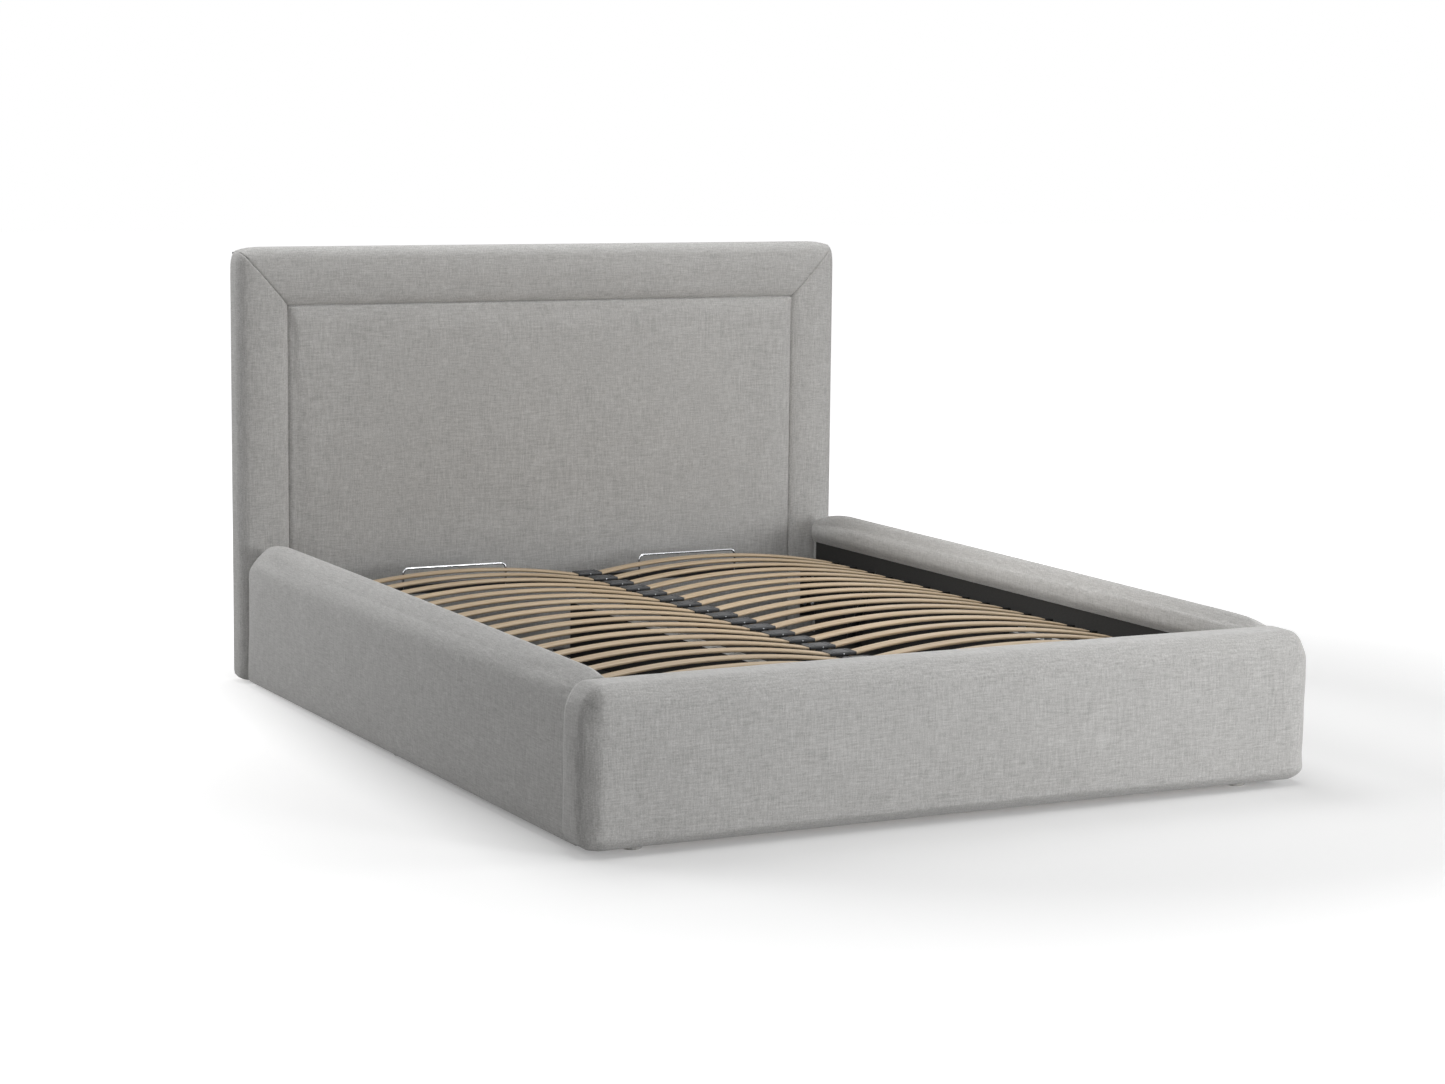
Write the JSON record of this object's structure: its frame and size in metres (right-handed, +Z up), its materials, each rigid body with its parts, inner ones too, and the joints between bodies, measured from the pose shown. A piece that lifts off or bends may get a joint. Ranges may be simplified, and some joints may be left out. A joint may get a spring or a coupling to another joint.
{
  "type": "storage bed",
  "caption": "Upholstered storage bed with a padded headboard and rails, whose sprung slatted frame lifts at the foot end on gas struts over a lined storage box.",
  "frame": {"origin": "on the floor, under the middle of the bed's bounding box", "axes": "+Z up, +Y towards the headboard, +X to the right side seen from the foot end"},
  "size_m": [1.797, 2.272, 1.1333],
  "materials": {
    "woven_fabric": "light grey woven linen look",
    "black_lining": "charcoal lining cloth",
    "black_board": "board faced in charcoal",
    "particle_board": "raw particle board",
    "birch_slat": "lacquered birch plywood",
    "black_steel": "black powder coat",
    "chrome_wire": "bright",
    "zinc_steel": "zinc plated"
  },
  "bodies": {
    "bed_box": {"centre_divider": "black_board", "corner_bracket_foot_left": "black_steel", "corner_bracket_foot_right": "black_steel", "corner_bracket_head_left": "black_steel", "corner_bracket_head_right": "black_steel", "floor_bearer_foot": "particle_board", "floor_bearer_head": "particle_board", "footboard_core": "particle_board", "footboard_cover": "woven_fabric", "headboard_back": "black_lining", "headboard_core": "particle_board", "headboard_pad_left": "woven_fabric", "headboard_pad_right": "woven_fabric", "headboard_pad_top": "woven_fabric", "headboard_panel": "woven_fabric", "hinge_pin_left": "zinc_steel", "hinge_pin_right": "zinc_steel", "lift_base_plate_left": "black_steel", "lift_base_plate_right": "black_steel", "lining_left": "black_lining", "lining_right": "black_lining", "rail_core_left": "particle_board", "rail_core_right": "particle_board", "rail_cover_left": "woven_fabric", "rail_cover_right": "woven_fabric", "rest_bracket_left": "zinc_steel", "rest_bracket_right": "zinc_steel", "storage_floor_left": "black_board", "storage_floor_right": "black_board"},
    "lift_frame": {"frame_tube_centre": "black_steel", "frame_tube_foot": "black_steel", "frame_tube_head": "black_steel", "frame_tube_left": "black_steel", "frame_tube_right": "black_steel", "hinge_plate_left": "black_steel", "hinge_plate_right": "black_steel", "mattress_stop_left": "chrome_wire", "mattress_stop_right": "chrome_wire", "slat_row_01": "birch_slat", "slat_row_02": "birch_slat", "slat_row_03": "birch_slat", "slat_row_04": "birch_slat", "slat_row_05": "birch_slat", "slat_row_06": "birch_slat", "slat_row_07": "birch_slat", "slat_row_08": "birch_slat", "slat_row_09": "birch_slat", "slat_row_10": "birch_slat", "slat_row_11": "birch_slat", "slat_row_12": "birch_slat", "slat_row_13": "birch_slat", "slat_row_14": "birch_slat", "slat_row_15": "birch_slat", "slat_row_16": "birch_slat", "slat_row_17": "birch_slat", "slat_row_18": "birch_slat"},
    "strut_cylinder_left": {"gas_cylinder_left": "black_steel"},
    "strut_rod_left": {"gas_rod_left": "chrome_wire"},
    "strut_cylinder_right": {"gas_cylinder_right": "black_steel"},
    "strut_rod_right": {"gas_rod_right": "chrome_wire"}
  },
  "joints": [
    {"name": "frame_lift", "type": "hinge", "parent": "bed_box", "child": "lift_frame", "pos_m": [0, 0.87, 0.225], "axis": [-1, 0, 0], "range_deg": [0, 38]},
    {"name": "cylinder_swing_left", "type": "hinge", "parent": "bed_box", "child": "strut_cylinder_left", "pos_m": [-0.782, 0.77, 0.055], "axis": [-1, 0, 0], "range_deg": [0, 21.6]},
    {"name": "rod_swing_left", "type": "hinge", "parent": "lift_frame", "child": "strut_rod_left", "pos_m": [-0.782, 0.65, 0.245], "axis": [-1, 0, 0], "range_deg": [-16.6, 0]},
    {"name": "cylinder_swing_right", "type": "hinge", "parent": "bed_box", "child": "strut_cylinder_right", "pos_m": [0.782, 0.77, 0.055], "axis": [-1, 0, 0], "range_deg": [0, 21.6]},
    {"name": "rod_swing_right", "type": "hinge", "parent": "lift_frame", "child": "strut_rod_right", "pos_m": [0.782, 0.65, 0.245], "axis": [-1, 0, 0], "range_deg": [-16.6, 0]}
  ],
  "couplings": [
    {"joint": "cylinder_swing_left", "follows": "frame_lift", "ratio": 0.5662},
    {"joint": "rod_swing_left", "follows": "frame_lift", "ratio": -0.4338},
    {"joint": "cylinder_swing_right", "follows": "frame_lift", "ratio": 0.5662},
    {"joint": "rod_swing_right", "follows": "frame_lift", "ratio": -0.4338}
  ]
}
